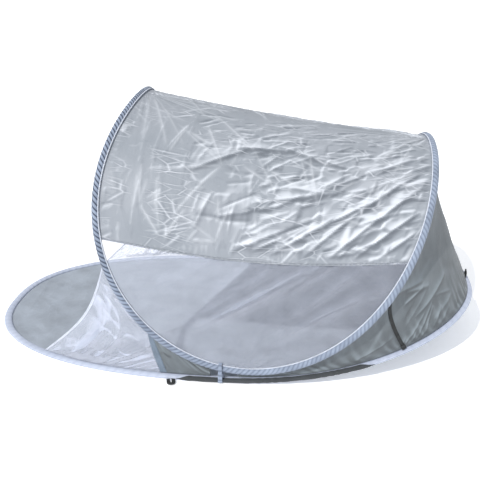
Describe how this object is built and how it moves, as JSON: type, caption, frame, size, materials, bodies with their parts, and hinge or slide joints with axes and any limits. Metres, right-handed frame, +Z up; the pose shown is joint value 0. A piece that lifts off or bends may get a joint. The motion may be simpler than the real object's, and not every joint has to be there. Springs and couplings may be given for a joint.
{
  "type": "pop up tent",
  "caption": "Low pop-up beach tent on sprung wire hoops: silver roof, mesh side windows, closed grey rear wall and an open front with a floor porch.",
  "frame": {"origin": "on the ground under the centre of the floor", "axes": "+Z up, -Y out of the entrance, +X to the right of a person who looks along +Y from the entrance"},
  "size_m": [1.2296, 1.9942, 0.9656],
  "materials": {
    "sleeve_cloth": "pale blue-grey polyester gathered round the wire",
    "roof_cloth": "silver-coated crinkled polyester",
    "window_mesh": "fine white insect mesh",
    "gusset_mesh": "thin white translucent mesh",
    "grey_cloth": "mid grey plain-weave polyester",
    "ground_cloth": "light grey coated groundsheet",
    "white_tape": "white binding tape",
    "seam_tape": "blue-grey binding tape",
    "black_webbing": "black woven webbing",
    "spring_steel": "bright spring steel wire"
  },
  "bodies": {
    "rear_half": {"floor_sleeve_rear": "sleeve_cloth", "canopy_sleeve_rear": "sleeve_cloth", "floor_wire_rear_right": "spring_steel", "floor_wire_rear_left": "spring_steel", "floor_ferrule": "spring_steel", "canopy_wire_rear_right": "spring_steel", "canopy_wire_rear_left": "spring_steel", "canopy_ferrule": "spring_steel", "roof": "roof_cloth", "window_right": "window_mesh", "window_left": "window_mesh", "rear_wall": "grey_cloth", "rear_strap_right": "black_webbing", "rear_strap_left": "black_webbing", "groundsheet_rear": "ground_cloth", "tack_right": "sleeve_cloth", "tack_left": "sleeve_cloth", "peg_loop_rear": "black_webbing"},
    "front_half": {"floor_sleeve_front": "sleeve_cloth", "canopy_sleeve_front": "sleeve_cloth", "floor_wire_front": "spring_steel", "canopy_wire_front": "spring_steel", "side_skirt_right": "grey_cloth", "side_skirt_left": "grey_cloth", "gusset_right": "gusset_mesh", "gusset_left": "gusset_mesh", "gusset_hem_right": "white_tape", "gusset_hem_left": "white_tape", "skirt_tape_right": "seam_tape", "skirt_tape_left": "seam_tape", "groundsheet_front": "ground_cloth", "peg_loop_front_right": "black_webbing", "peg_loop_front_left": "black_webbing"}
  },
  "joints": [
    {"name": "fold", "type": "hinge", "parent": "rear_half", "child": "front_half", "pos_m": [0, 0, 0.076], "axis": [-1, 0, 0], "range_deg": [0, 60], "deforming": ["roof", "window_right", "window_left"]}
  ]
}
